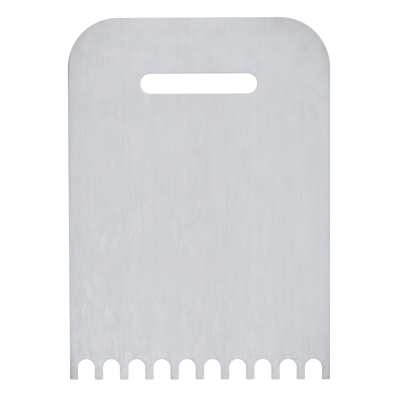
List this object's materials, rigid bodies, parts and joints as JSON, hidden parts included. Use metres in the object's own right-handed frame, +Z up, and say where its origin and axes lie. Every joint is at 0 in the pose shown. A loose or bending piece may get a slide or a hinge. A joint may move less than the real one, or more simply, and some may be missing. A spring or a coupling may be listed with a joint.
{
  "type": "notched trowel",
  "caption": "Flat steel sheet tool with large rounded top corners, a long round-ended hand slot, and a comb of round-rooted notches along the lower edge for spreading mortar.",
  "frame": {"origin": "middle of the tooth-tip line, in the middle of the sheet's thickness: the bottom centre of the bounding box", "axes": "+Z up the sheet from the teeth to the hand slot, +X along the row of teeth, +Y through the thickness; the face seen first looks along -Y"},
  "size_m": [0.26, 0.0016, 0.36],
  "materials": {
    "stainless_sheet": "satin stainless steel, fine rolled grain running from the hand slot down to the teeth"
  },
  "bodies": {
    "root": {"notched_plate": "stainless_sheet"}
  },
  "joints": []
}
